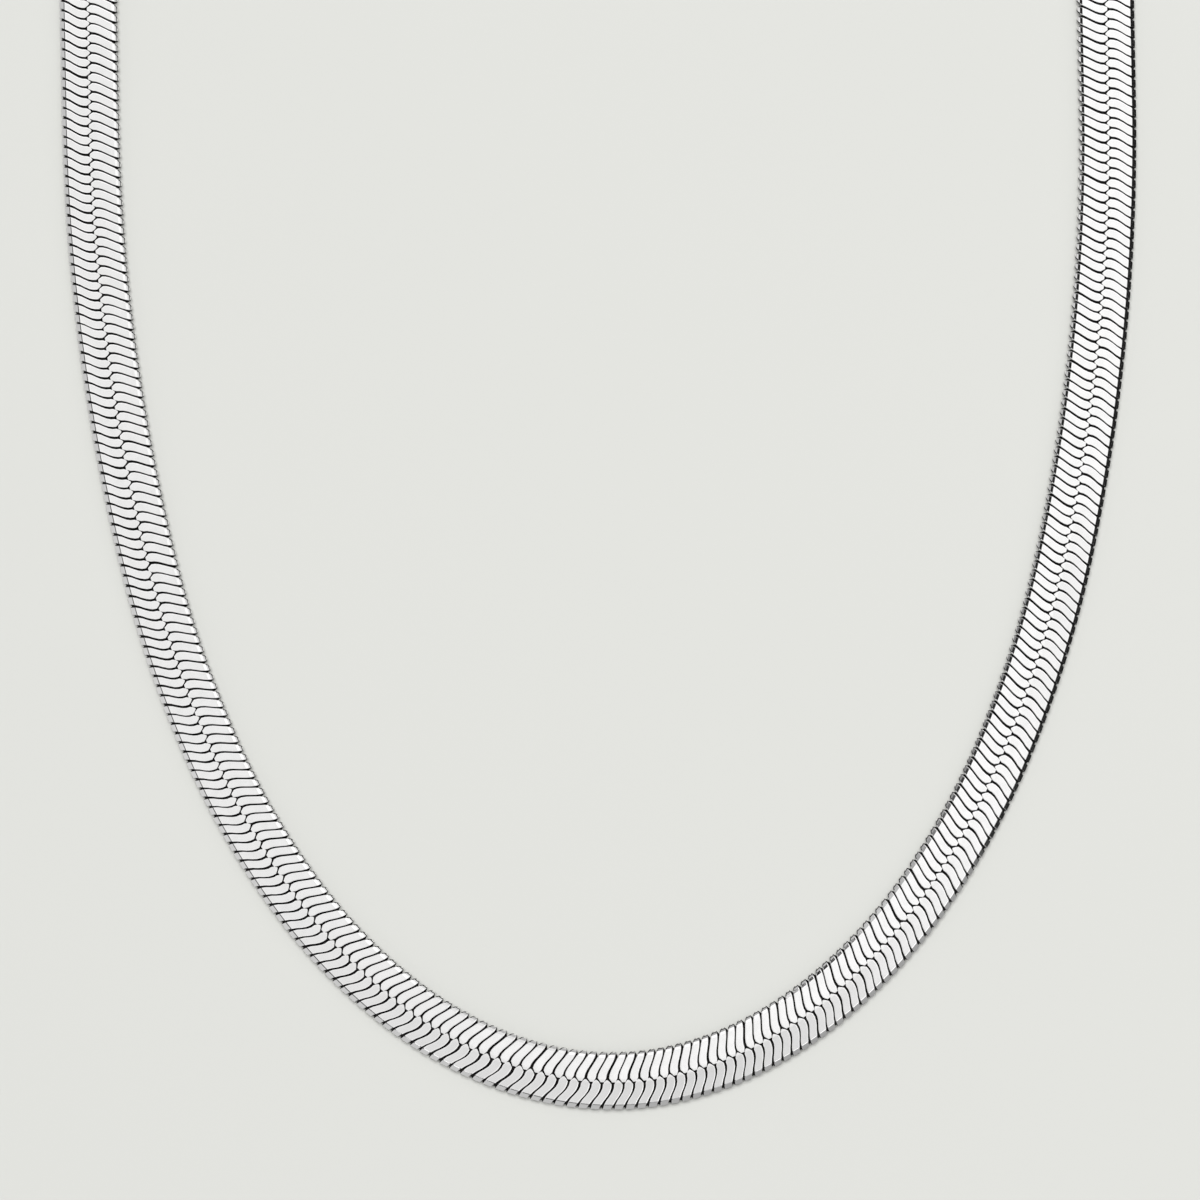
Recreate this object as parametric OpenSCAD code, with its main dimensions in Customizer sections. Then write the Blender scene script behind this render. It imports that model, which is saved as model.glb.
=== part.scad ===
// A flat herringbone chain lying on a table as a closed loop, fastened at the back.
// The loop is in the XY plane with the underside at z = 0. The front of the necklace is at -Y, the clasp at +Y.
// The band is one solid here, with the form of the pressed links: a crowned top and bevelled edges.

/* [Loop] */
// Length once round the middle of the chain, clasp included
loop_length = 450; // [400:5:600]

/* [Band] */
// Width over both bevelled edges
band_w = 6; // [4:0.5:10]
// Thickness at the middle
band_t = 1.2; // [0.9:0.1:2]
// Width of the bevel along each edge
bevel_w = 0.5; // [0.2:0.05:1]
// Height that each bevel drops
bevel_h = 0.35; // [0.1:0.05:0.5]
// How much lower the top is beside the bevel than in the middle
crown = 0.12; // [0:0.02:0.3]

/* [End caps] */
// Metal at each side of the chain's end in the cap
cap_side = 0.8; // [0.5:0.1:2]
// Metal over the chain's end in the cap
cap_roof = 0.8; // [0.5:0.1:1.5]
// Length of the cap's body
cap_l = 4.4; // [3.8:0.2:5]
// Distance from the chain's end to the middle of the cap's eye
cap_reach = 6; // [5.6:0.2:10]
// Length of the thin pressed tongue inside the cap
tongue_l = 3; // [2:0.2:3.4]

/* [Rings] */
// Wire of the oval rings
ring_wire = 0.6; // [0.4:0.1:1]
// Free height over and under an eye inside a ring
ring_clear = 0.2; // [0.15:0.05:0.5]
// Free length between an eye's wall and a ring's round end
ring_play = 0.15; // [0.1:0.05:0.5]
// Distance between the two eyes that a ring joins
eye_gap = 0.5; // [0.3:0.1:2]
// Room for the ring's wire to move in an eye
eye_play = 1; // [0.7:0.1:2]
// Metal round each eye's hole
eye_wall = 0.7; // [0.4:0.1:1.2]
// Thickness of each eye
eye_t = 0.8; // [0.5:0.1:1.2]

/* [Clasp] */
// Length from the tail eye's middle to the nose
clasp_l = 10; // [9:0.5:16]
// Width of the nose
clasp_w = 5; // [4:0.5:8]
// Thickness of the body
clasp_t = 2.4; // [1.6:0.1:3.5]
// Solid metal between the tail eye and the opening
clasp_neck = 1.7; // [1:0.1:3]
// Width of the opening at its back end
clasp_slot_w = 2.5; // [1.5:0.1:3]

/* [Hidden] */
$fn = 96;
gap = 0.1; // clearance between two pieces that meet
groove_w = 0.04; // a fine line across the band, like those between its links, where one bend changes to the next
groove_d = 0.06;
core_l = 0.8; // the band's core, under each such line
// The front half of the loop: gentle bends from the middle of the front to the straight limb.
// Columns: turn in degrees, radius as a share of the loop's length.
bends = [
  [12, 0.067],
  [14, 0.079],
  [14, 0.095],
  [14, 0.126],
  [12, 0.173],
  [11, 0.255],
  [13, 0.465]
];
half_w = band_w / 2;
edge_top = band_t - crown; // height of the top's outer border
tongue_w = band_w - 2 * bevel_w;
tongue_t = band_t / 2;
tongue_z = (band_t - tongue_t) / 2;
tongue_root = 0.4; // how far the tongue starts inside the band
pocket_w = tongue_w + 2 * gap;
cap_w = pocket_w + 2 * cap_side;
cap_t = tongue_z + tongue_t + gap + cap_roof;
eye_hole = ring_wire + eye_play;
eye_r = eye_hole / 2 + eye_wall;
ring_in_r = eye_t / 2 + ring_clear; // inside of a ring's round end
ring_r = ring_in_r + ring_wire / 2; // middle of the wire there
ring_bow = ring_in_r - sqrt(ring_in_r * ring_in_r - eye_t * eye_t / 4);
ring_side = 2 * (eye_wall + ring_bow + ring_play - ring_in_r) + eye_gap;
ring_straight = round(500 * ring_side) / 500; // a round number, so that sides and ends meet face to face
ring_z = ring_in_r + ring_wire; // middle height of rings and eyes
eye_z = ring_z - eye_t / 2;
cut = 1; // how far a cut runs past the metal
fastening_half = (2 * cap_reach + 3 * eye_r + 2 * eye_gap + clasp_l) / 2;

function bend_r(i) = bends[i][1] * loop_length;
function heading(i) = i == 0 ? 0 : heading(i - 1) + bends[i - 1][0];
function start_x(i) = i == 0 ? 0 : start_x(i - 1) + bend_r(i - 1) * (sin(heading(i)) - sin(heading(i - 1)));
function start_y(i) = i == 0 ? 0 : start_y(i - 1) + bend_r(i - 1) * (cos(heading(i - 1)) - cos(heading(i)));
function run_length(i) = i == 0 ? 0 : run_length(i - 1) + bend_r(i - 1) * bends[i - 1][0] * PI / 180;

limb_x = start_x(len(bends));
limb_y = start_y(len(bends));
back_r = limb_x - fastening_half;
limb_l = loop_length / 2 - run_length(len(bends)) - back_r * PI / 2 - fastening_half;
back_y = limb_y + limb_l + back_r; // the line of the clasp
mid_y = (back_y + max(cap_w / 2, half_w) - half_w) / 2; // middle of the whole, front to back

tail_eye_x = -fastening_half + cap_reach + 2 * eye_r + eye_gap;
nose_x = tail_eye_x + clasp_l;
nose_r = clasp_w / 2;
nose_mid_x = nose_x - nose_r;
slot_r = clasp_slot_w / 2;
slot_x = tail_eye_x + eye_r + clasp_neck + slot_r;

// The band's cross-section, or its core that much further in
module band_section(inset = 0) {
  side = half_w - inset;
  flat = half_w - bevel_w - inset;
  polygon([
    [-flat, inset],
    [flat, inset],
    [side, bevel_h],
    [side, edge_top - bevel_h],
    [flat, edge_top - inset],
    [0, band_t - inset],
    [-flat, edge_top - inset],
    [-side, edge_top - bevel_h],
    [-side, bevel_h]
  ]);
}

// A bend to the left that starts at the origin towards +X
module bend_run(r, turn) {
  trim = groove_w / 2 / r * 180 / PI;
  translate([0, r, 0])
    rotate(trim - 90)
      rotate_extrude(angle = turn - 2 * trim)
        translate([r, 0])
          band_section();
}

module straight_run(l) {
  translate([groove_w / 2, 0, 0])
    rotate([90, 0, 90])
      linear_extrude(l - groove_w)
        band_section();
}

module core() {
  translate([-core_l / 2, 0, 0])
    rotate([90, 0, 90])
      linear_extrude(core_l)
        band_section(groove_d);
}

// The band's right half, from the middle of the front to its end beside the clasp
module band_half() {
  for (i = [0 : len(bends) - 1])
    translate([start_x(i), start_y(i), 0])
      rotate(heading(i))
        bend_run(bend_r(i), bends[i][0]);
  for (i = [1 : len(bends)])
    translate([start_x(i), start_y(i), 0])
      rotate(heading(i))
        core();
  translate([limb_x, limb_y, 0])
    rotate(90)
      straight_run(limb_l);
  translate([limb_x, limb_y + limb_l, 0])
    rotate(90) {
      core();
      bend_run(back_r, 90);
    }
  translate([fastening_half - tongue_l, back_y - tongue_w / 2, tongue_z])
    cube([tongue_l + tongue_root, tongue_w, tongue_t]);
}

module herringbone_band() {
  color([0.86, 0.86, 0.87])
    translate([0, -mid_y, 0]) {
      core();
      band_half();
      mirror([1, 0, 0]) band_half();
    }
}

// A flat eye round the origin, before its hole is drilled
module eye_blank() {
  translate([0, 0, eye_z])
    cylinder(r = eye_r, h = eye_t);
}

module eye_drill() {
  translate([0, 0, eye_z - cut])
    cylinder(d = eye_hole, h = eye_t + 2 * cut);
}

// A cap that starts at the chain's end and points to +X
module end_cap() {
  difference() {
    union() {
      translate([gap, -cap_w / 2, 0])
        cube([cap_l - gap, cap_w, cap_t]);
      translate([0, 0, eye_z])
        linear_extrude(eye_t)
          polygon([
            [cap_l - cap_side, -cap_w / 2 + cap_side],
            [cap_reach, -eye_r],
            [cap_reach, eye_r],
            [cap_l - cap_side, cap_w / 2 - cap_side]
          ]);
      translate([cap_reach, 0, 0])
        eye_blank();
    }
    translate([-cut, -pocket_w / 2, tongue_z - gap])
      cube([tongue_l + gap + cut, pocket_w, tongue_t + 2 * gap]);
    translate([cap_reach, 0, 0])
      eye_drill();
  }
}

module end_cap_left() {
  color([0.8, 0.8, 0.82])
    translate([-fastening_half, back_y - mid_y, 0])
      end_cap();
}

module end_cap_right() {
  color([0.8, 0.8, 0.82])
    translate([fastening_half, back_y - mid_y, 0])
      mirror([1, 0, 0])
        end_cap();
}

// An upright oval ring of round wire, round the origin
module oval_ring() {
  rotate([90, 0, 0]) {
    for (side = [0, 180])
      rotate(side)
        translate([ring_straight / 2, 0, 0])
          rotate(-90)
            rotate_extrude(angle = 180)
              translate([ring_r, 0])
                circle(d = ring_wire, $fn = 32);
    for (side = [-1, 1])
      translate([-ring_straight / 2, side * ring_r, 0])
        rotate([0, 90, 0])
          cylinder(d = ring_wire, h = ring_straight, $fn = 32);
  }
}

module jump_ring_left() {
  color([0.75, 0.76, 0.8])
    translate([tail_eye_x - eye_r - eye_gap / 2, back_y - mid_y, ring_z])
      oval_ring();
}

module jump_ring_right() {
  color([0.75, 0.76, 0.8])
    translate([nose_x + eye_gap / 2, back_y - mid_y, ring_z])
      oval_ring();
}

// Plan of the clasp: a drop that widens to its round nose
module clasp_plan() {
  translate([nose_mid_x, 0])
    circle(r = nose_r);
  polygon([
    [tail_eye_x + eye_r, -eye_r],
    [nose_mid_x, -nose_r],
    [nose_mid_x, nose_r],
    [tail_eye_x + eye_r, eye_r]
  ]);
}

// One plain piece. Its nose is as thin as an eye, to pass inside its ring.
module clasp() {
  color([0.78, 0.78, 0.8])
    translate([0, back_y - mid_y, 0])
      difference() {
        union() {
          intersection() {
            linear_extrude(clasp_t)
              clasp_plan();
            translate([tail_eye_x, -clasp_w, 0])
              cube([nose_mid_x - tail_eye_x, 2 * clasp_w, clasp_t]);
          }
          translate([0, 0, eye_z])
            linear_extrude(eye_t)
              clasp_plan();
          translate([tail_eye_x, -eye_r, eye_z])
            cube([eye_r + clasp_neck / 2, 2 * eye_r, eye_t]);
          translate([tail_eye_x, 0, 0])
            eye_blank();
        }
        translate([tail_eye_x, 0, 0])
          eye_drill();
        translate([nose_mid_x, 0, -cut])
          cylinder(r = nose_r - eye_wall, h = clasp_t + 2 * cut);
        translate([slot_x, 0, -cut])
          cylinder(r = slot_r, h = clasp_t + 2 * cut);
        translate([slot_x, -slot_r, -cut])
          cube([nose_mid_x - slot_x, clasp_slot_w, clasp_t + 2 * cut]);
      }
}

herringbone_band();
end_cap_left();
end_cap_right();
jump_ring_left();
jump_ring_right();
clasp();
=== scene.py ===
import math
import random

import bmesh
import bpy
from mathutils import Matrix, Vector


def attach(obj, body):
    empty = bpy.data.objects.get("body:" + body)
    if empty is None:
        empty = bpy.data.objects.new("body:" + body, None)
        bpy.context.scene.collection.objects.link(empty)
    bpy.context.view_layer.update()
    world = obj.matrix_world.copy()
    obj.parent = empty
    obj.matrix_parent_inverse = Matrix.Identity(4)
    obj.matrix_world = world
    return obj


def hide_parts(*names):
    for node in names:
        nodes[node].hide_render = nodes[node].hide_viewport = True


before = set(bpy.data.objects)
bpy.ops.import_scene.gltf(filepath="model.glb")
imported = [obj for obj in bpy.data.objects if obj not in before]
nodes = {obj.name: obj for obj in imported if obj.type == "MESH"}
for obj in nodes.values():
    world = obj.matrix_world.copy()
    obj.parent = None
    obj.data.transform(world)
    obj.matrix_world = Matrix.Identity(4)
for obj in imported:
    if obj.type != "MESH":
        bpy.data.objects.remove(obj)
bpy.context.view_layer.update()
mm = 0.001
random.seed(42)
print("frame loaded:", sorted(nodes))

camera = {
    "height": 600.0,  # mm above the floor
    "target": (-0.83, -32.44),  # the point of the floor at the photo's middle
    "roll": -1.06,  # degrees
    "frameWidth": 125.26,  # mm across the picture at the top of the chain
    "focusHeight": 1.1,
}


def setCamera(c):
    data = bpy.data.cameras.new("camera")
    data.sensor_width = 36
    data.lens = 36 * (c["height"] - c["focusHeight"]) / c["frameWidth"]
    data.clip_start, data.clip_end = 0.01, 20
    obj = bpy.data.objects.new("camera", data)
    obj.location = (c["target"][0] * mm, c["target"][1] * mm, c["height"] * mm)
    obj.rotation_euler = (0, 0, math.radians(c["roll"]))
    bpy.context.scene.collection.objects.link(obj)
    bpy.context.scene.camera = obj


setCamera(camera)
print("camera set")


def newMaterial(name):
    mat = bpy.data.materials.new(name)
    mat.use_nodes = True
    tree = mat.node_tree
    shader = next(n for n in tree.nodes if n.type == "BSDF_PRINCIPLED")
    return mat, tree, shader


def addNode(tree, kind, **settings):
    node = tree.nodes.new(kind)
    for key, value in settings.items():
        setattr(node, key, value)
    return node


def math2(tree, operation, *values):
    node = addNode(tree, "ShaderNodeMath", operation=operation)
    for socket, value in zip(node.inputs, values):
        if isinstance(value, bpy.types.NodeSocket):
            tree.links.new(value, socket)
        else:
            socket.default_value = value
    return node.outputs[0]


def ramp(tree, source, low, high, outLow=0.0, outHigh=1.0, smooth=True):
    node = addNode(tree, "ShaderNodeMapRange")
    node.interpolation_type = "SMOOTHSTEP" if smooth else "LINEAR"
    tree.links.new(source, node.inputs["Value"])
    node.inputs["From Min"].default_value = low
    node.inputs["From Max"].default_value = high
    node.inputs["To Min"].default_value = outLow
    node.inputs["To Max"].default_value = outHigh
    return node.outputs["Result"]


def patch(tree, source, start, full, fade, end):
    # rises from start to full, and falls from fade to end
    return math2(tree, "MULTIPLY", ramp(tree, source, start, full), ramp(tree, source, fade, end, 1, 0))


def noise(tree, vector, scale, detail=2.0, roughness=0.5):
    node = addNode(tree, "ShaderNodeTexNoise")
    tree.links.new(vector, node.inputs["Vector"])
    node.inputs["Scale"].default_value = scale
    node.inputs["Detail"].default_value = detail
    node.inputs["Roughness"].default_value = roughness
    return node.outputs["Fac"]


def stretch(tree, vector, scale, turn=0.0):
    node = addNode(tree, "ShaderNodeMapping")
    tree.links.new(vector, node.inputs["Vector"])
    node.inputs["Scale"].default_value = scale
    node.inputs["Rotation"].default_value = (0, 0, math.radians(turn))
    return node.outputs["Vector"]


def colorBetween(tree, factor, first, second):
    node = addNode(tree, "ShaderNodeMix", data_type="RGBA")
    tree.links.new(factor, node.inputs["Factor"])
    node.inputs["A"].default_value = (*first, 1)
    node.inputs["B"].default_value = (*second, 1)
    return node.outputs["Result"]


def addBump(tree, shader, height, distance, strength=1.0):
    node = addNode(tree, "ShaderNodeBump")
    node.inputs["Distance"].default_value = distance
    node.inputs["Strength"].default_value = strength
    tree.links.new(height, node.inputs["Height"])
    tree.links.new(node.outputs["Normal"], shader.inputs["Normal"])
    return node


polishedSilver = {
    "bright": (0.955, 0.95, 0.945),
    "dull": (0.915, 0.912, 0.905),
    "roughness": (0.045, 0.11),
    "hairline": 0.0000004,
    "cloudScale": 900,
    "grainScale": 5200,
    "hairScale": 4200,
}


def makeSilver(name, m):
    mat, tree, shader = newMaterial(name)
    place = addNode(tree, "ShaderNodeTexCoord").outputs["Object"]
    clouds = noise(tree, place, m["cloudScale"], 3)
    grain = noise(tree, stretch(tree, place, (1, 6, 1), 35), m["grainScale"], 2, 0.6)
    hair = noise(tree, stretch(tree, place, (9, 1, 1), -20), m["hairScale"], 2, 0.7)
    tone = colorBetween(tree, ramp(tree, clouds, 0.35, 0.7), m["bright"], m["dull"])
    tree.links.new(tone, shader.inputs["Base Color"])
    shader.inputs["Metallic"].default_value = 1
    rough = ramp(tree, math2(tree, "MULTIPLY", clouds, grain), 0.1, 0.45, *m["roughness"])
    tree.links.new(rough, shader.inputs["Roughness"])
    addBump(tree, shader, math2(tree, "ADD", grain, hair), m["hairline"])
    return mat


# near-black painted shade: the walls inside the links, their dark rounded edges and the core take it in
# place of the shade deep in the gaps; its tone varies a little at random
paintedGapShade = {
    "deep": (0.002, 0.002, 0.0022),
    "paleShade": (0.009, 0.0085, 0.008),
    "roughness": (0.5, 0.75),
    "shine": 0.12,
    "speckleScale": 2600,
    "speckleHeight": 0.00001,
}


# a dull near-black material that paints the shade between the links
def makeCrevice(name, m):
    mat, tree, shader = newMaterial(name)
    place = addNode(tree, "ShaderNodeTexCoord").outputs["Object"]
    speckle = noise(tree, place, m["speckleScale"], 4, 0.6)
    tone = colorBetween(tree, ramp(tree, speckle, 0.35, 0.7), m["deep"], m["paleShade"])
    tree.links.new(tone, shader.inputs["Base Color"])
    shader.inputs["Specular IOR Level"].default_value = m["shine"]
    tree.links.new(ramp(tree, speckle, 0.3, 0.7, *m["roughness"]), shader.inputs["Roughness"])
    addBump(tree, shader, speckle, m["speckleHeight"])
    return mat


silver = makeSilver("polished_silver", polishedSilver)
crevice = makeCrevice("painted_crevice_shade", paintedGapShade)
print("metals made")

route = {
    "bends": ((12, 30.15), (14, 35.55), (14, 42.75), (14, 56.7), (12, 77.85), (11, 114.75), (13, 209.25)),
    "limb": 24.3164,  # straight stretch at each side
    "back": (90, 39.3556),
    "frontY": -82.6797,  # where the middle line crosses the front
    "half": 211.25,
}


def routeParts(r):
    parts = [(math.radians(turn), radius) for turn, radius in r["bends"]]
    parts.append((None, r["limb"]))
    parts.append((math.radians(r["back"][0]), r["back"][1]))
    return parts


parts = routeParts(route)


def onLoop(along, across, height):
    side = 1 if along >= 0 else -1
    left, x, y, heading = abs(along), 0.0, route["frontY"], 0.0
    for index, (turn, size) in enumerate(parts):
        last = index == len(parts) - 1
        if turn is None:
            step = min(left, size)
            x, y, left = x + step * math.cos(heading), y + step * math.sin(heading), left - step
        else:
            angle = left / size if last else min(left / size, turn)
            x += size * (math.sin(heading + angle) - math.sin(heading))
            y += size * (math.cos(heading) - math.cos(heading + angle))
            heading, left = heading + angle, left - angle * size
        if left <= 1e-9:
            break
    x -= across * math.sin(heading)
    y += across * math.cos(heading)
    return Vector((side * x, y, height))


pitch = {
    # the number of a gap of the outer column, and how far along the middle line it lies, in mm from the
    # front's middle: the links sit closer towards the back
    "gaps": (
        (-128, -135.7), (-88, -95.0), (-64, -69.2), (-40, -44.2), (-16, -18.0), (-8, -8.5), (0, 0.7),
        (16, 17.8), (40, 43.0), (64, 68.6), (96, 101.5), (120, 126.5),
    ),
    "unseen": 1.03,  # the pitch where the photo doesn't show the chain
    "beyond": (60, 120, 180),  # the gaps added past each end of the list, at that pitch
    "pastEnd": 2.6,  # how far past the chain's end links are laid before the ends are cut, in mm
    "jitter": 0.015,  # how far a link is out of its place, in pitches
    "tilt": 0.003,  # and how far out of level, in radians
}


def spreadGaps(p):
    gaps = list(p["gaps"])
    (first, start), (last, end) = gaps[0], gaps[-1]
    for step in p["beyond"]:
        gaps.insert(0, (first - step, start - step * p["unseen"]))
        gaps.append((last + step, end + step * p["unseen"]))
    return gaps


gaps = spreadGaps(pitch)


def alongAt(phase):
    # a smooth curve through the gaps
    passed = sum(number <= phase for number, along in gaps)
    index = min(max(passed - 1, 1), len(gaps) - 3)
    (n0, a0), (n1, a1), (n2, a2), (n3, a3) = gaps[index - 1 : index + 3]
    t = (phase - n1) / (n2 - n1)
    enter = (a2 - a0) / (n2 - n0) * (n2 - n1)
    leave = (a3 - a1) / (n3 - n1) * (n2 - n1)
    rise = a2 - a1
    return a1 + t * (enter + t * (3 * rise - 2 * enter - leave + t * (enter + leave - 2 * rise)))


reach = route["half"] + pitch["pastEnd"]
firstLink = next(k for k in range(gaps[1][0], 0) if alongAt(k) > -reach)
lastLink = next(k for k in range(gaps[-2][0], 0, -1) if alongAt(k) < reach)

# each station: outward, height, share of width, shift along, rim width, rim drop, all but the share in mm
outerLink = {
    "side": -1,
    "phase": 0.5,
    "gap": (0.205, 0.165),  # at the left end and at the right end
    "creases": (7, 8, 9, 10, 11),
    "stations": (
        (-0.09, 1.180, 0.14, 0.045, 0.04, 0.010),
        (0.10, 1.181, 0.58, 0.025, 0.08, 0.018),
        (0.36, 1.183, 0.94, 0.0, 0.11, 0.022),
        (0.75, 1.164, 0.94, 0.035, 0.11, 0.022),
        (1.15, 1.145, 0.97, 0.165, 0.11, 0.022),
        (1.60, 1.123, 1.0, 0.415, 0.11, 0.020),
        (2.05, 1.102, 0.99, 0.715, 0.11, 0.020),
        (2.47, 1.078, 0.95, 0.92, 0.11, 0.020),
        (2.55, 1.062, 0.90, 0.96, 0.11, 0.022),
        (3.00, 0.744, 0.83, 1.10, 0.12, 0.0),
        (3.00, 0.350, 0.83, 1.12, 0.12, 0.0),
        (2.50, 0.000, 0.94, 1.25, 0.11, -0.03),
        (1.30, 0.000, 0.96, 1.90, 0.11, -0.02),
        (0.02, 0.000, 0.30, 2.10, 0.05, -0.01),
    ),
    "corner": {},
    "darkEdge": None,
}
innerLink = {
    "side": 1,
    "phase": 0.0,
    "gap": (0.175, 0.225),
    "creases": (6, 7, 8, 9, 10, 11, 12),
    "stations": (
        (-0.13, 1.180, 0.40, 0.04, 0.06, 0.010),
        (0.29, 1.186, 0.95, 0.0, 0.11, 0.022),
        (0.65, 1.169, 0.97, 0.04, 0.11, 0.022),
        (1.10, 1.147, 0.98, 0.20, 0.11, 0.022),
        (1.60, 1.123, 0.99, 0.46, 0.11, 0.020),
        (2.05, 1.102, 0.99, 0.70, 0.11, 0.020),
        (2.44, 1.084, 0.97, 0.870, 0.11, 0.020),
        (2.70, 0.987, 0.95, 0.95, 0.11, 0.022),
        (2.86, 0.874, 0.93, 1.00, 0.08, 0.02),
        (2.95, 0.784, 0.86, 1.02, 0.08, 0.02),
        (3.00, 0.690, 0.74, 1.03, 0.08, 0.0),
        (3.00, 0.370, 0.74, 1.06, 0.08, 0.0),
        (2.50, 0.000, 0.94, 1.20, 0.11, -0.03),
        (1.30, 0.000, 0.96, 1.80, 0.11, -0.02),
        (0.02, 0.000, 0.30, 2.00, 0.05, -0.01),
    ),
    # the tip's rounded corner, by station: how far it is cut back, and its edge's width and drop
    "corner": {
        6: (0.02, 0.11, 0.02),
        7: (0.07, 0.12, 0.09),
        8: (0.15, 0.11, 0.12),
        9: (0.21, 0.10, 0.12),
        10: (0.27, 0.09, 0.08),
        11: (0.27, 0.09, 0.0),
    },
    "darkEdge": (7, 11),  # the stations between which the rounded edge is dark: it gets the near-black material, painted shade
}
linkPitch = 1.05  # the pitch that one link is drawn at, before the strip is spaced out
coreReach, coreHeights = 2.45, (0.38, 0.66)  # where a link's walls meet, inside the chain
weld = 0.00001  # mm
sharpFrom = 40  # degrees between two faces
skinFrom = 0.5  # the height above which a link can be out of level, in mm
leanAbout = 1.2  # how far from the middle line a link's lean turns, in mm
endTrim = 0.02  # how much is cut off each end of the chain, in mm


def linkRing(link, gap, spot):
    # the points round the link at one station: its foot, the four of its skin, and the foot again
    out, height, share, shift, rim, drop = link["stations"][spot]
    width = (linkPitch - gap) / 2 * share
    rim = min(rim, width * 0.6)
    cut, edge, edgeDrop = link["corner"].get(spot, (0, rim, drop))
    foot = (0, min(out, coreReach), min(max(height, coreHeights[0]), coreHeights[1]))
    ring = (
        foot,
        (cut - width, out, height - edgeDrop),
        (cut - width + edge, out, height),
        (width - rim, out, height),
        (width, out, height - drop),
        foot,
    )
    return [Vector((x + shift * link["side"], y * link["side"], z)) for x, y, z in ring]


def onDarkEdge(link, turns, spots):
    if not link["darkEdge"] or max(turns) != 2:
        return False
    first, last = link["darkEdge"]
    return min(spots) >= first and max(spots) <= last


def drawLink(link, gap):
    bm = bmesh.new()
    count = len(link["stations"])
    bmesh.ops.create_grid(bm, x_segments=count - 1, y_segments=5, size=1)
    bm.verts.index_update()
    rings = [linkRing(link, gap, spot) for spot in range(count)]
    for vert in bm.verts:
        turn, spot = divmod(vert.index, count)
        vert.co = rings[spot][turn]
    for edge in bm.edges:
        spots = {v.index % count for v in edge.verts}
        if len(spots) == 1 and spots <= set(link["creases"]):
            edge.smooth = False
    for face in bm.faces:
        turns = [v.index // count for v in face.verts]
        spots = [v.index % count for v in face.verts]
        # the inside walls, the dark rounded edges and the filled ends take the near-black material: painted
        # shade in the gaps
        inside = min(turns) == 0 or max(turns) == 5
        face.material_index = 1 if inside or onDarkEdge(link, turns, spots) else 0
        face.smooth = True
    bmesh.ops.remove_doubles(bm, verts=bm.verts[:], dist=weld)
    filled = bmesh.ops.holes_fill(bm, edges=[e for e in bm.edges if e.is_boundary], sides=8)
    for face in filled["faces"]:
        face.material_index = 1
    bmesh.ops.recalc_face_normals(bm, faces=bm.faces[:])
    for edge in bm.edges:
        if edge.calc_face_angle(0) > math.radians(sharpFrom):
            edge.smooth = False
    return bm


def loosePart(start):
    part, known = [start], {start}
    for face in part:
        for edge in face.edges:
            for other in edge.link_faces:
                if other not in known:
                    known.add(other)
                    part.append(other)
    return part


def signedVolume(faces):
    origin = faces[0].verts[0].co
    total = 0
    for face in faces:
        first, *rest = [v.co - origin for v in face.verts]
        for second, third in zip(rest, rest[1:]):
            total += first.dot(second.cross(third))
    return total / 6


def turnOutward(bm):
    # the faces of a loose part look outward where its volume is positive: thin, bent parts need this check
    bmesh.ops.recalc_face_normals(bm, faces=bm.faces[:])
    known = set()
    for start in bm.faces:
        if start in known:
            continue
        part = loosePart(start)
        known.update(part)
        if signedVolume(part) < 0:
            for face in part:
                face.normal_flip()


def layLinks(name, link):
    template = bpy.data.meshes.new(name + "_one")
    bm = bmesh.new()
    for number in range(firstLink, lastLink + 1):
        tilt = random.gauss(0, pitch["tilt"])
        lean = random.gauss(0, pitch["tilt"])
        centre = number + link["phase"] + random.gauss(0, pitch["jitter"])
        share = min(max(0.5 + alongAt(centre) / route["half"] / 2, 0), 1)
        one = drawLink(link, link["gap"][0] * (1 - share) + link["gap"][1] * share)
        for vert in one.verts:
            x, y, z = vert.co
            if z > skinFrom:
                z += x * tilt + (y - leanAbout * link["side"]) * lean
            vert.co = (alongAt(centre + x / linkPitch), y, z)
        one.to_mesh(template)
        one.free()
        bm.from_mesh(template)
    bpy.data.meshes.remove(template)
    print(name, "laid", len(bm.verts), "verts")
    for end in (-1, 1):
        everything = bm.verts[:] + bm.edges[:] + bm.faces[:]
        place = (end * (route["half"] - endTrim), 0, 0)
        plane = {"plane_co": place, "plane_no": (end, 0, 0)}
        bmesh.ops.bisect_plane(bm, geom=everything, dist=weld, clear_outer=True, **plane)
    cuts = bmesh.ops.holes_fill(bm, edges=[e for e in bm.edges if e.is_boundary], sides=0)
    for face in cuts["faces"]:
        face.smooth = False
        for edge in face.edges:
            edge.smooth = False
    for vert in bm.verts:
        vert.co = onLoop(*vert.co)
    turnOutward(bm)
    return finishPiece(bm, name, (silver, crevice))


def finishPiece(bm, name, materials, sharpAngle=None):
    # the shading weighs each face by its area, which has to be done in mm: in metres the areas are too small
    drawn = bpy.data.meshes.new(name + "_in_mm")
    bm.to_mesh(drawn)
    bm.free()
    for mat in materials:
        drawn.materials.append(mat)
    if sharpAngle:
        drawn.set_sharp_from_angle(angle=math.radians(sharpAngle))
    holder = bpy.data.objects.new(name + "_in_mm", drawn)
    bpy.context.scene.collection.objects.link(holder)
    weights = holder.modifiers.new("weighted normals", "WEIGHTED_NORMAL")
    weights.keep_sharp = True
    weights.mode = "FACE_AREA"
    weights.weight = 100
    weights.thresh = 0
    graph = bpy.context.evaluated_depsgraph_get()
    shaded = holder.evaluated_get(graph)
    mesh = bpy.data.meshes.new_from_object(shaded, preserve_all_data_layers=True, depsgraph=graph)
    mesh.name = name
    mesh.transform(Matrix.Scale(mm, 4))
    bpy.data.objects.remove(holder)
    bpy.data.meshes.remove(drawn)
    obj = bpy.data.objects.new(name, mesh)
    bpy.context.scene.collection.objects.link(obj)
    return obj


for name, link in (("herringbone_outer_links", outerLink), ("herringbone_inner_links", innerLink)):
    piece = layLinks(name, link)
    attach(piece, "root")
    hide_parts("herringbone_band")
    print(name, "faces", len(piece.data.polygons))
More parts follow.
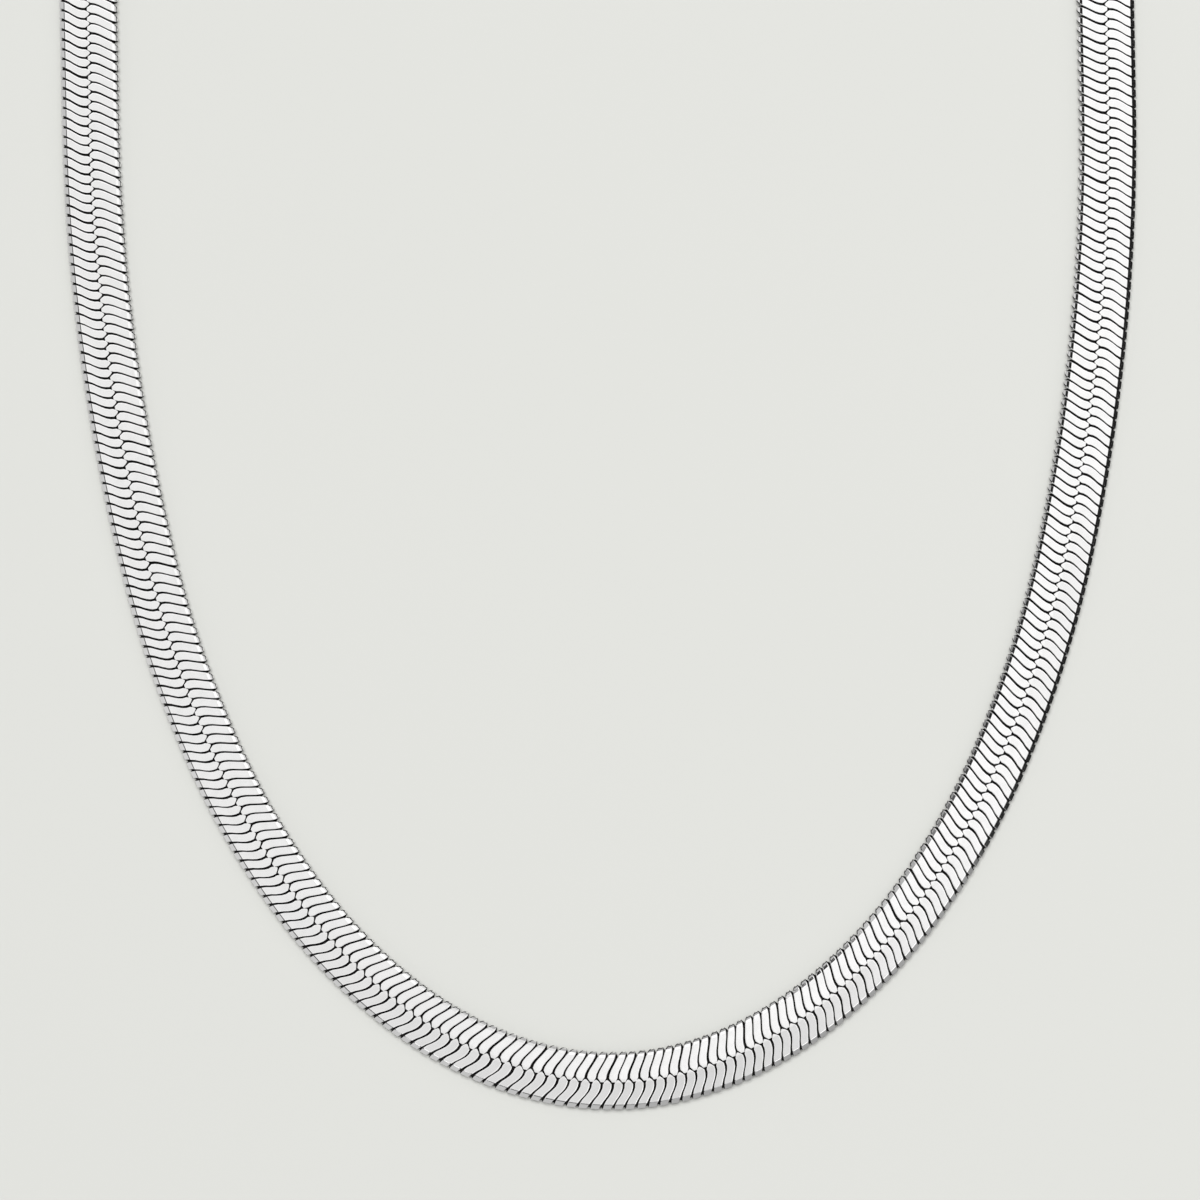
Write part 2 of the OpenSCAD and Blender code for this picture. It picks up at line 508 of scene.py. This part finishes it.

# a near-black core, painted shade that shows in the gaps between the links, in mm
heart = {
    "outer": 2.82,
    "inner": 2.32,
    "low": 0.42,
    "high": 0.74,
    "tongue": 3.0,
    "tongueWidth": 2.45,
    "steps": 420,
    "sharp": 30,
}


def putInOrder(parts, place):
    for index, part in enumerate(sorted(parts, key=place)):
        part.index = index
    parts.sort()


def makeHeart(h):
    bm = bmesh.new()
    bmesh.ops.create_grid(bm, x_segments=h["steps"], y_segments=1, size=0.5)
    length = route["half"] + h["tongue"]
    bmesh.ops.scale(bm, vec=(2 * length, h["inner"] + h["outer"], 1), verts=bm.verts[:])
    bmesh.ops.translate(bm, vec=(0, (h["inner"] - h["outer"]) / 2, h["low"]), verts=bm.verts[:])
    raised = bmesh.ops.extrude_face_region(bm, geom=bm.faces[:])
    top = [v for v in raised["geom"] if isinstance(v, bmesh.types.BMVert)]
    bmesh.ops.translate(bm, vec=(0, 0, h["high"] - h["low"]), verts=top)
    for vert in bm.verts:
        extra = abs(vert.co.x) - route["half"]
        if extra > 0:
            # the end that goes into the cap
            across = max(vert.co.y, -h["tongueWidth"])
            base = onLoop(math.copysign(route["half"], vert.co.x), across, vert.co.z)
            base.x -= math.copysign(extra, vert.co.x)
            vert.co = base
        else:
            vert.co = onLoop(*vert.co)
    turnOutward(bm)
    # extruding gives its parts in an order that changes from run to run
    putInOrder(bm.verts, lambda v: tuple(v.co))
    putInOrder(bm.edges, lambda e: tuple(e.verts[0].co + e.verts[1].co))
    putInOrder(bm.faces, lambda f: tuple(f.calc_center_median()))
    return finishPiece(bm, "herringbone_shade_core", (crevice,), h["sharp"])


heartPiece = makeHeart(heart)
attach(heartPiece, "root")
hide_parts("herringbone_band")
print("heart made")

fastening = {
    "satin": ("end_cap_left", "end_cap_right", "clasp"),
    "polished": ("jump_ring_left", "jump_ring_right"),
    "light": (0.80, 0.795, 0.785),
    "dark": (0.64, 0.635, 0.625),
    "roughness": (0.13, 0.30),
    "brushed": 0.000002,
    "roundEdge": 0.00013,
}


def makeSatin(name, m):
    # fine brushed lines across the chain, with softly worn edges
    mat, tree, shader = newMaterial(name)
    place = addNode(tree, "ShaderNodeTexCoord").outputs["Object"]
    clouds = noise(tree, place, 420, 3)
    brushed = noise(tree, stretch(tree, place, (12, 0.5, 6)), 1100, 3, 0.65)
    streaks = math2(tree, "MULTIPLY_ADD", brushed, 0.7, math2(tree, "MULTIPLY", clouds, 0.3))
    tone = colorBetween(tree, ramp(tree, streaks, 0.36, 0.62), m["dark"], m["light"])
    tree.links.new(tone, shader.inputs["Base Color"])
    shader.inputs["Metallic"].default_value = 1
    tree.links.new(ramp(tree, streaks, 0.35, 0.65, *m["roughness"]), shader.inputs["Roughness"])
    bump = addBump(tree, shader, brushed, m["brushed"])
    edge = addNode(tree, "ShaderNodeBevel", samples=6)
    edge.inputs["Radius"].default_value = m["roundEdge"]
    tree.links.new(edge.outputs["Normal"], bump.inputs["Normal"])
    return mat


def coatNodes(names, mat):
    for name in names:
        if not nodes[name].material_slots:
            nodes[name].data.materials.append(None)
        for materialSlot in nodes[name].material_slots:
            materialSlot.material = mat


coatNodes(fastening["satin"], makeSatin("satin_fastening", fastening))
coatNodes(fastening["polished"], makeSilver("polished_wire", dict(polishedSilver, roughness=(0.08, 0.15))))
print("fastening finished")

floorSettings = {
    "size": 6.0,
    "tone": (0.384, 0.3863, 0.3694),
    "fleck": 0.995,  # how much darker the flecks are
    "fleckScale": 60,
}


def makeFloor(f):
    bm = bmesh.new()
    bmesh.ops.create_grid(bm, x_segments=1, y_segments=1, size=f["size"] / 2)
    mesh = bpy.data.meshes.new("floor")
    bm.to_mesh(mesh)
    bm.free()
    obj = bpy.data.objects.new("floor", mesh)
    bpy.context.scene.collection.objects.link(obj)
    mat, tree, shader = newMaterial("pale_floor")
    place = addNode(tree, "ShaderNodeTexCoord").outputs["Object"]
    fleck = noise(tree, place, f["fleckScale"], 3)
    dark = tuple(c * f["fleck"] for c in f["tone"])
    tone = colorBetween(tree, fleck, f["tone"], dark)
    tree.links.new(tone, shader.inputs["Base Color"])
    shader.inputs["Roughness"].default_value = 0.9
    shader.inputs["Specular IOR Level"].default_value = 0.1
    mesh.materials.append(mat)
    return obj


floor = makeFloor(floorSettings)
print("floor made")

studio = {
    # how bright the surroundings look by compass direction, in degrees from the right of the picture,
    # in three belts above the horizon
    "belts": (
        (
            (0, 0.015), (38, 0.02), (60, 0.4), (90, 0.52), (130, 0.62), (180, 0.57), (200, 0.68),
            (225, 0.62), (262, 0.54), (286, 0.38), (319, 0.36), (326.5, 0.33), (329, 0.02), (360, 0.015),
        ),
        (
            (0, 0.74), (25, 0.76), (40, 1.0), (52, 0.8), (64, 0.5), (80, 0.48), (106, 0.36), (122, 0.5),
            (139, 0.55), (155, 0.22), (162, 0.22), (174, 0.85), (190, 0.85), (220, 0.6), (300, 0.55),
            (330, 0.7), (360, 0.74),
        ),
        (
            (0, 0.72), (40, 0.86), (75, 0.66), (115, 0.8), (150, 0.6), (190, 0.5), (225, 0.72),
            (255, 0.6), (290, 0.8), (330, 0.6), (360, 0.72),
        ),
    ),
    # the same close to the horizon
    "rim": (
        (0, 0.14), (21, 0.12), (36, 0.02), (55, 0.02), (66, 0.5), (80, 0.5), (95, 0.04), (150, 0.04),
        (163, 0.5), (230, 0.5), (245, 0.3), (290, 0.3), (324, 0.28), (332, 0.05), (360, 0.14),
    ),
    "steps": ((0.31, 0.34), (0.50, 0.58)),  # sine of the height where one belt gives way to the next
    # a dark gap between the light overhead and the belts: where it starts, is full, fades and ends, in
    # degrees round the room and as the sine of the height
    "gapTurn": (139.8, 154.2, 251.2, 308.8),
    "gapRise": (0.65, 0.69, 0.98, 0.985),
    "gapTone": 0.02,
    "rimTop": (0.10, 0.16),  # sine of the height where the rim gives way to the belts
    "seen": (0.79, 0.80, 0.76, 1),  # what the camera sees past the floor
}


def mixLight(tree, factor, first, second):
    node = addNode(tree, "ShaderNodeMix", data_type="RGBA")
    tree.links.new(factor, node.inputs["Factor"])
    for value, socket in ((first, node.inputs["A"]), (second, node.inputs["B"])):
        if isinstance(value, bpy.types.NodeSocket):
            tree.links.new(value, socket)
        else:
            socket.default_value = value
    return node.outputs["Result"]


def beltColors(tree, turn, belt):
    node = addNode(tree, "ShaderNodeValToRGB")
    stops = node.color_ramp.elements
    while len(stops) < len(belt):
        stops.new(0.5)
    for stop, (angle, value) in zip(stops, belt):
        stop.position = angle / 360
        stop.color = (value, value, value, 1)
    tree.links.new(turn, node.inputs["Fac"])
    return node.outputs["Color"]


def makeWorld(s):
    world = bpy.data.worlds.new("studio")
    world.use_nodes = True
    tree = world.node_tree
    background = next(n for n in tree.nodes if n.type == "BACKGROUND")
    place = addNode(tree, "ShaderNodeTexCoord").outputs["Generated"]
    split = addNode(tree, "ShaderNodeSeparateXYZ")
    tree.links.new(place, split.inputs[0])
    x, y, z = split.outputs
    turn = math2(tree, "DIVIDE", math2(tree, "ARCTAN2", y, x), 2 * math.pi)
    turn = math2(tree, "FRACT", math2(tree, "ADD", turn, 1.0))
    low, middle, high = (beltColors(tree, turn, belt) for belt in s["belts"])
    tone = mixLight(tree, ramp(tree, z, *s["steps"][0]), low, middle)
    tone = mixLight(tree, ramp(tree, z, *s["steps"][1]), tone, high)
    dark = (s["gapTone"],) * 3 + (1,)
    inTurn = patch(tree, turn, *(angle / 360 for angle in s["gapTurn"]))
    inRise = patch(tree, z, *s["gapRise"])
    tone = mixLight(tree, math2(tree, "MULTIPLY", inTurn, inRise), tone, dark)
    tone = mixLight(tree, ramp(tree, z, *s["rimTop"]), beltColors(tree, turn, s["rim"]), tone)
    tone = mixLight(tree, addNode(tree, "ShaderNodeLightPath").outputs["Is Camera Ray"], tone, s["seen"])
    tree.links.new(tone, background.inputs["Color"])
    background.inputs["Strength"].default_value = 1
    bpy.context.scene.world = world


makeWorld(studio)

softbox = {
    "height": 0.5,
    "x": (-0.245, 0.38),
    "y": (-0.32, 0.38),
    "middle": (-0.006, 0.006),  # x where its left half gives way to its right half
    "glow": (0.885, 1.03),  # of the two halves
    # three brighter sides: from where to where the light changes, and how strong it is before and after
    "back": (0.07, 0.12, 0, 0.2),
    "front": (-0.215, -0.185, 0.25, 0),
    "left": (-0.185, -0.155, 0.2, 0),
    # a soft shade towards the front, weaker away from the middle
    "shadeY": (-0.165, -0.075, 1, 0),
    "shadeX": (0.03, 0.14, 1, 0.35),
    "shadeDepth": (0.13, 0.31),  # in the two halves
    # two shaded patches: where each starts, is full, fades and ends
    "card": {"x": (0.05, 0.09, 0.2, 0.24), "y": (0.19, 0.23, 0.33, 0.36), "depth": 0.42},
    "corner": {"x": (0.118, 0.128, 0.145, 0.152), "y": (-0.09, -0.07, -0.035, -0.02), "depth": 0.1},
    # dark at its front left corner, and on its left side towards the back
    "darkCorner": {"x": (-0.18, -0.16, 1, 0), "y": (-0.185, -0.165, 1, 0)},
    "darkSide": {"x": (-0.205, -0.19, 1, 0), "y": (0.15, 0.18, 0.27, 0.3)},
}


def softboxStrength(tree, x, y, b):
    base = ramp(tree, x, *b["middle"], *b["glow"])
    sides = math2(tree, "ADD", ramp(tree, y, *b["back"]), ramp(tree, y, *b["front"]))
    sides = math2(tree, "ADD", sides, ramp(tree, x, *b["left"]))
    fromMiddle = math2(tree, "ABSOLUTE", x)
    shade = math2(tree, "MULTIPLY", ramp(tree, y, *b["shadeY"]), ramp(tree, fromMiddle, *b["shadeX"]))
    shade = math2(tree, "MULTIPLY", shade, ramp(tree, x, *b["middle"], *b["shadeDepth"]))
    for area in (b["card"], b["corner"]):
        inside = math2(tree, "MULTIPLY", patch(tree, x, *area["x"]), patch(tree, y, *area["y"]))
        shade = math2(tree, "MULTIPLY_ADD", inside, area["depth"], shade)
    strength = math2(tree, "SUBTRACT", math2(tree, "ADD", base, sides), shade)
    corner, side = b["darkCorner"], b["darkSide"]
    dark = math2(tree, "MULTIPLY", ramp(tree, x, *corner["x"]), ramp(tree, y, *corner["y"]))
    darkSide = math2(tree, "MULTIPLY", ramp(tree, x, *side["x"]), patch(tree, y, *side["y"]))
    lit = math2(tree, "SUBTRACT", 1.0, math2(tree, "MAXIMUM", dark, darkSide))
    return math2(tree, "MULTIPLY", strength, lit)


def makeSoftbox(b):
    bm = bmesh.new()
    bmesh.ops.create_grid(bm, x_segments=1, y_segments=1, size=0.5)
    bmesh.ops.scale(bm, vec=(b["x"][1] - b["x"][0], b["y"][1] - b["y"][0], 1), verts=bm.verts[:])
    bmesh.ops.translate(bm, vec=(sum(b["x"]) / 2, sum(b["y"]) / 2, b["height"]), verts=bm.verts[:])
    bmesh.ops.reverse_faces(bm, faces=bm.faces[:])
    mesh = bpy.data.meshes.new("softbox")
    bm.to_mesh(mesh)
    bm.free()
    obj = bpy.data.objects.new("softbox", mesh)
    bpy.context.scene.collection.objects.link(obj)
    mat = bpy.data.materials.new("softbox_glow")
    mat.use_nodes = True
    tree = mat.node_tree
    tree.nodes.clear()
    out = addNode(tree, "ShaderNodeOutputMaterial")
    glow = addNode(tree, "ShaderNodeEmission")
    tree.links.new(glow.outputs[0], out.inputs["Surface"])
    place = addNode(tree, "ShaderNodeTexCoord").outputs["Object"]
    split = addNode(tree, "ShaderNodeSeparateXYZ")
    tree.links.new(place, split.inputs[0])
    strength = softboxStrength(tree, split.outputs["X"], split.outputs["Y"], b)
    tree.links.new(strength, glow.inputs["Strength"])
    mesh.materials.append(mat)
    obj.visible_camera = False
    obj.visible_shadow = False
    return obj


topLight = {"strength": 4.6, "angle": 40, "from": (-0.08, 0.3, 1.0)}


def makeTopLight(t):
    lamp = bpy.data.lights.new("top_light", "SUN")
    lamp.energy = t["strength"]
    lamp.angle = math.radians(t["angle"])
    obj = bpy.data.objects.new("top_light", lamp)
    obj.rotation_euler = Vector(t["from"]).to_track_quat("Z", "Y").to_euler()
    obj.visible_glossy = False
    bpy.context.scene.collection.objects.link(obj)


makeTopLight(topLight)
box = makeSoftbox(softbox)
bpy.context.scene.view_settings.view_transform = "Standard"
print("light set")
